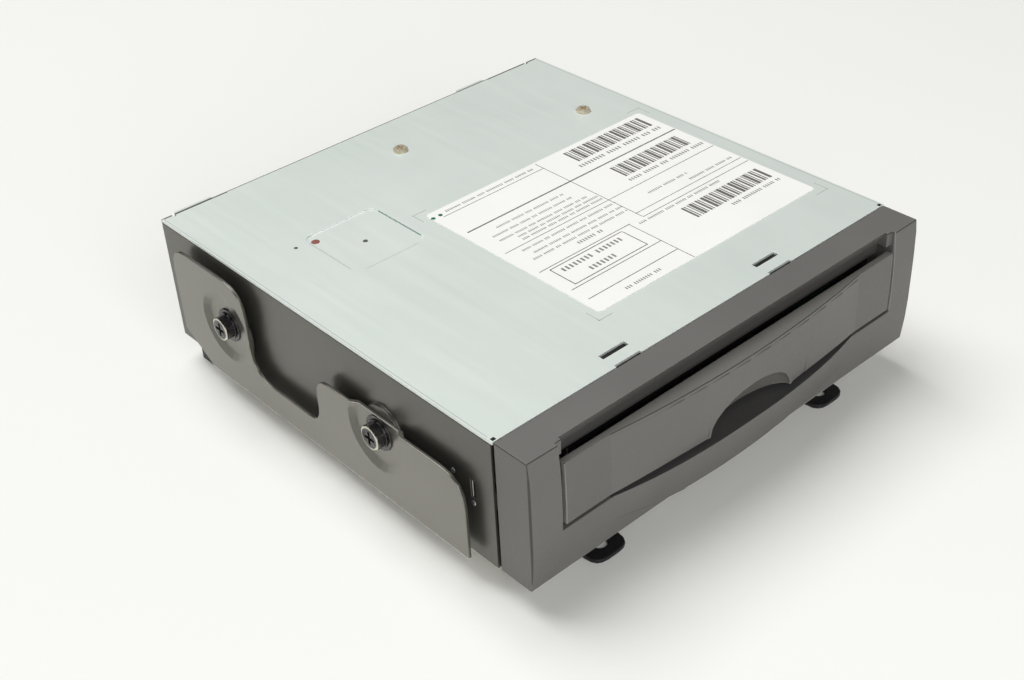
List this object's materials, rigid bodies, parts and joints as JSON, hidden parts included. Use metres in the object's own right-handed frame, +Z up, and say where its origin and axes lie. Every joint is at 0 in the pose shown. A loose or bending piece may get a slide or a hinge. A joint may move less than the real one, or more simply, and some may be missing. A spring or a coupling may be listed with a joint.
{
  "type": "car navigation disc reader",
  "caption": "Flat car disc reader: zinc-plated steel case with side brackets, grey front with a sprung flap over a disc slot, and the loading drive, turntable and pickup inside.",
  "frame": {"origin": "on the surface that the foot brackets stand on, under the middle of the unit's box", "axes": "+Z up, -Y towards the front with the flap, +X to the right seen from the front"},
  "size_m": [0.191, 0.1948, 0.0601],
  "materials": {
    "zinc_cover": "zinc-plated steel sheet, satin, pale mint grey",
    "zinc_tray": "zinc-plated steel sheet, satin, dark where it stands in shade",
    "label_paper": "white film label with plain ruled boxes and bars",
    "bezel_plastic": "grey moulded plastic with a fine grain",
    "flap_plastic": "grey moulded plastic with a fine grain",
    "black_plastic": "black moulded plastic",
    "felt": "black dust felt",
    "button_plastic": "dark grey moulded plastic",
    "clear_plastic": "clear moulded plastic",
    "circuit_board": "green circuit board",
    "chip_epoxy": "black epoxy",
    "bracket_steel": "plated steel sheet, glossy gunmetal",
    "screw_steel": "dark chromate plated steel",
    "black_steel": "black coated steel sheet",
    "yellow_zinc": "yellow chromate plated steel",
    "bright_steel": "plain plated steel",
    "brass": "machined brass",
    "gear_plastic": "natural acetal plastic",
    "rubber": "black rubber",
    "ribbon_cable": "amber film with copper tracks"
  },
  "bodies": {
    "housing": {"top_cover": "zinc_cover", "chassis_tray": "zinc_tray", "rating_label": "label_paper", "front_bezel": "bezel_plastic", "slot_fascia": "black_plastic", "power_header": "black_plastic", "optical_header": "black_plastic", "upper_dust_felt": "felt", "lower_dust_felt": "felt", "status_light_pipe": "clear_plastic", "front_board": "circuit_board", "main_board": "circuit_board", "processor_chip": "chip_epoxy", "side_bracket_left": "bracket_steel", "side_bracket_right": "bracket_steel", "bracket_screw_left_front": "screw_steel", "bracket_screw_left_rear": "screw_steel", "bracket_screw_right_front": "screw_steel", "bracket_screw_right_rear": "screw_steel", "lock_washer_left_front": "screw_steel", "lock_washer_left_rear": "screw_steel", "lock_washer_right_front": "screw_steel", "lock_washer_right_rear": "screw_steel", "flat_washer_left_front": "screw_steel", "flat_washer_left_rear": "screw_steel", "flat_washer_right_front": "screw_steel", "flat_washer_right_rear": "screw_steel", "front_foot_bracket": "black_steel", "rear_foot_bracket": "black_steel", "cover_screw_rear": "yellow_zinc", "cover_screw_side": "yellow_zinc", "mechanism_frame": "bright_steel", "spindle_motor": "bright_steel", "main_guide_rod": "bright_steel", "sub_guide_rod": "bright_steel", "sled_motor": "bright_steel", "loading_motor": "bright_steel", "flap_pin_left": "bright_steel", "flap_pin_right": "bright_steel", "eject_button_spring": "bright_steel", "antenna_socket": "brass", "damper_left_front": "rubber", "damper_left_rear": "rubber", "damper_right_front": "rubber", "damper_right_rear": "rubber", "flat_cable": "ribbon_cable"},
    "flap": {"flap_door": "flap_plastic", "flap_spring": "bright_steel"},
    "eject_button": {"eject_button": "button_plastic"},
    "turntable": {"turntable": "black_plastic"},
    "clamp_arm": {"clamp_arm": "bright_steel"},
    "clamper": {"clamper": "gear_plastic"},
    "pickup": {"pickup_sled": "black_plastic", "pickup_lens": "clear_plastic"},
    "lead_screw": {"lead_screw": "bright_steel"},
    "loading_roller": {"roller_shaft": "gear_plastic", "loading_roller": "rubber"},
    "idler_gear": {"idler_gear": "gear_plastic"},
    "loading_worm": {"loading_worm": "brass"}
  },
  "joints": [
    {"name": "flap_hinge", "type": "hinge", "parent": "housing", "child": "flap", "pos_m": [0, -0.089, 0.0489], "axis": [-1, 0, 0], "range_deg": [0, 75], "stiffness_Nm_per_rad": 0.004, "springref_deg": -17.19},
    {"name": "eject_button_press", "type": "slide", "parent": "housing", "child": "eject_button", "axis": [0, 1, 0], "range_m": [0, 0.0012], "stiffness_N_per_m": 300, "springref_m": -0.0008, "deforming": ["eject_button_spring"]},
    {"name": "turntable_spin", "type": "hinge", "parent": "housing", "child": "turntable", "pos_m": [0, -0.0018, 0.0385], "axis": [0, 0, 1], "continuous": true},
    {"name": "clamp_arm_lift", "type": "hinge", "parent": "housing", "child": "clamp_arm", "pos_m": [0, 0.0612, 0.0467], "axis": [-1, 0, 0], "range_deg": [0, 5]},
    {"name": "clamper_spin", "type": "hinge", "parent": "clamp_arm", "child": "clamper", "pos_m": [0, -0.0018, 0.0435], "axis": [0, 0, 1], "continuous": true},
    {"name": "pickup_slide", "type": "slide", "parent": "housing", "child": "pickup", "axis": [0, 1, 0], "range_m": [0, 0.034]},
    {"name": "lead_screw_turn", "type": "hinge", "parent": "housing", "child": "lead_screw", "pos_m": [-0.028, 0.0392, 0.0255], "axis": [0, 1, 0], "range_deg": [0, 4080]},
    {"name": "roller_spin", "type": "hinge", "parent": "housing", "child": "loading_roller", "pos_m": [0, -0.0648, 0.0365], "axis": [1, 0, 0], "continuous": true},
    {"name": "idler_spin", "type": "hinge", "parent": "housing", "child": "idler_gear", "pos_m": [0.068, -0.05192, 0.0347], "axis": [1, 0, 0], "continuous": true},
    {"name": "worm_spin", "type": "hinge", "parent": "housing", "child": "loading_worm", "pos_m": [0.063, -0.0518, 0.0237], "axis": [0, 1, 0], "continuous": true}
  ],
  "couplings": [
    {"joint": "clamper_spin", "follows": "turntable_spin", "ratio": 1},
    {"joint": "lead_screw_turn", "follows": "pickup_slide", "rad_per_m": 2094.4},
    {"joint": "idler_spin", "follows": "roller_spin", "ratio": -1.1667},
    {"joint": "worm_spin", "follows": "roller_spin", "ratio": 37.333}
  ]
}
